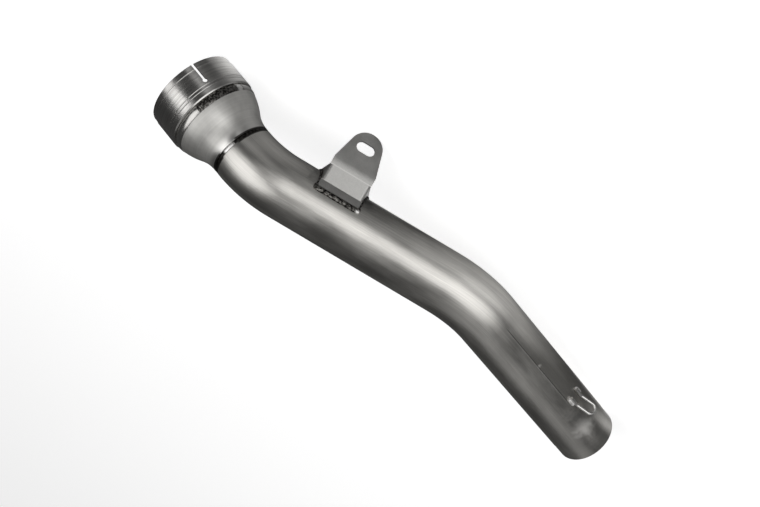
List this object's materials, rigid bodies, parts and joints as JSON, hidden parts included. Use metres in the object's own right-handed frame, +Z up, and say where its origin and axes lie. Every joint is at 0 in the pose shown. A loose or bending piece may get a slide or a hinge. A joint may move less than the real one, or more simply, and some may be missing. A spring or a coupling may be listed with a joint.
{
  "type": "motorcycle decat pipe",
  "caption": "Bent stainless exhaust link pipe with a slotted slip-on inlet sleeve, a spun reducer, a welded hanger bracket and a spring hook.",
  "frame": {"origin": "on the floor, under the middle of the box of the pipe as it comes to rest", "axes": "+X from the inlet sleeve to the outlet, level; +Z up; the pipe lies on the edge of its sleeve, the edge of its outlet and the round top of its bracket"},
  "size_m": [0.4574, 0.124, 0.0878],
  "materials": {
    "brushed_tube": "brushed lengthwise, satin",
    "blasted_reducer": "fine blasted satin",
    "turned_sleeve": "turned bright, fine rings",
    "satin_sheet": "satin rolled sheet",
    "hook_wire": "bright drawn wire",
    "neck_weld": "polished fusion weld",
    "sleeve_weld": "heat-darkened rippled weld",
    "bracket_weld": "heat-darkened rippled weld",
    "hook_weld": "bright weld metal"
  },
  "bodies": {
    "root": {"bent_tube": "brushed_tube", "reducer": "blasted_reducer", "inlet_sleeve": "turned_sleeve", "hanger_bracket": "satin_sheet", "spring_hook": "hook_wire", "neck_weld": "neck_weld", "sleeve_weld": "sleeve_weld", "bracket_front_weld": "bracket_weld", "bracket_inlet_side_weld": "bracket_weld", "bracket_outlet_side_weld": "bracket_weld", "hook_weld_near": "hook_weld", "hook_weld_far": "hook_weld"}
  },
  "joints": []
}
